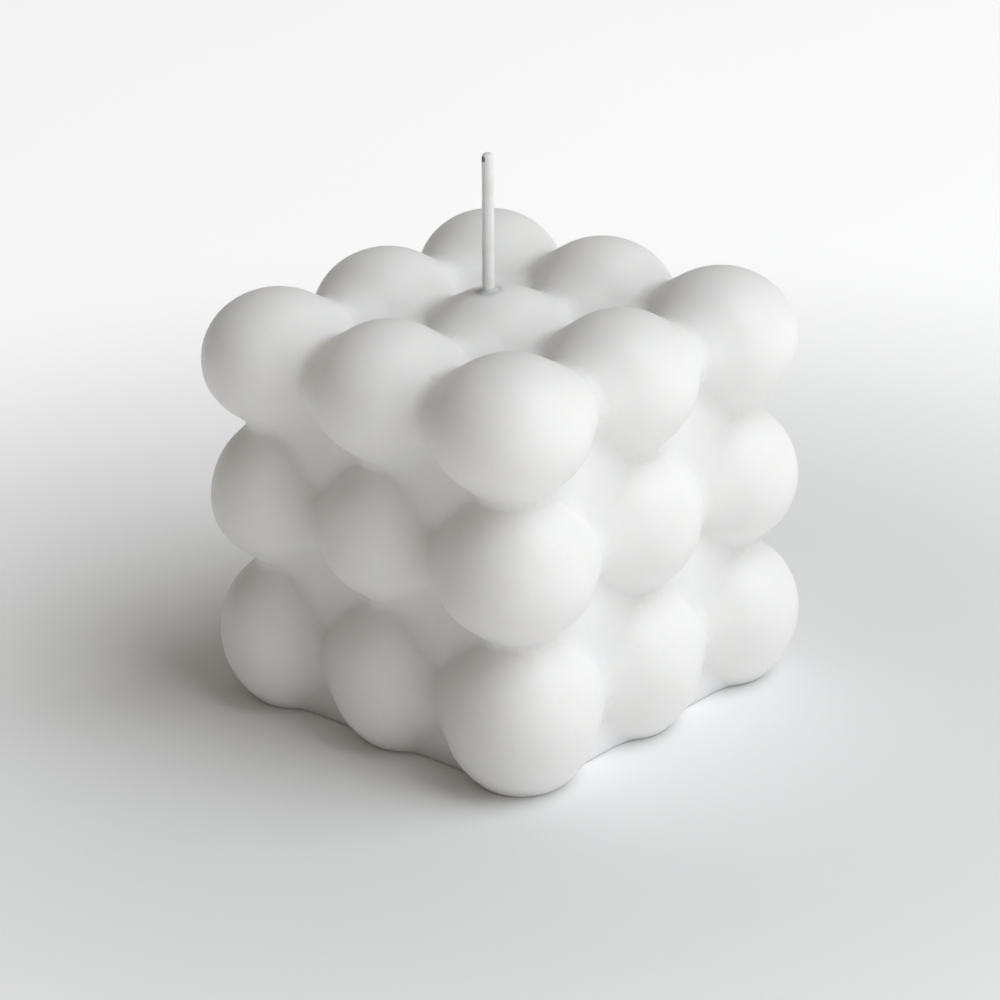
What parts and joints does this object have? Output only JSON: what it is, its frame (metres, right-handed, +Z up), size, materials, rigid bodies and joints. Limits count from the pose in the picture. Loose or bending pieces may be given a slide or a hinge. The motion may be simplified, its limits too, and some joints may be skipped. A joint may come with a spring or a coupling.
{
  "type": "bubble cube candle",
  "caption": "Cube-shaped decorative candle of rounded wax bubbles cast together, with a flat base to stand on and a waxed wick rising from the middle of the top.",
  "frame": {"origin": "middle of the flat base, on the surface that the candle stands on", "axes": "+Z up through the wick, +X and +Y square to the sides of the cube"},
  "size_m": [0.06, 0.06, 0.0733],
  "materials": {
    "wax": "smooth cast white wax with a soft satin sheen, a little light passing through it",
    "waxed_cotton": "braided cotton soaked in wax, pale and smooth"
  },
  "bodies": {
    "root": {"wax_body": "wax", "wick": "waxed_cotton"}
  },
  "joints": []
}
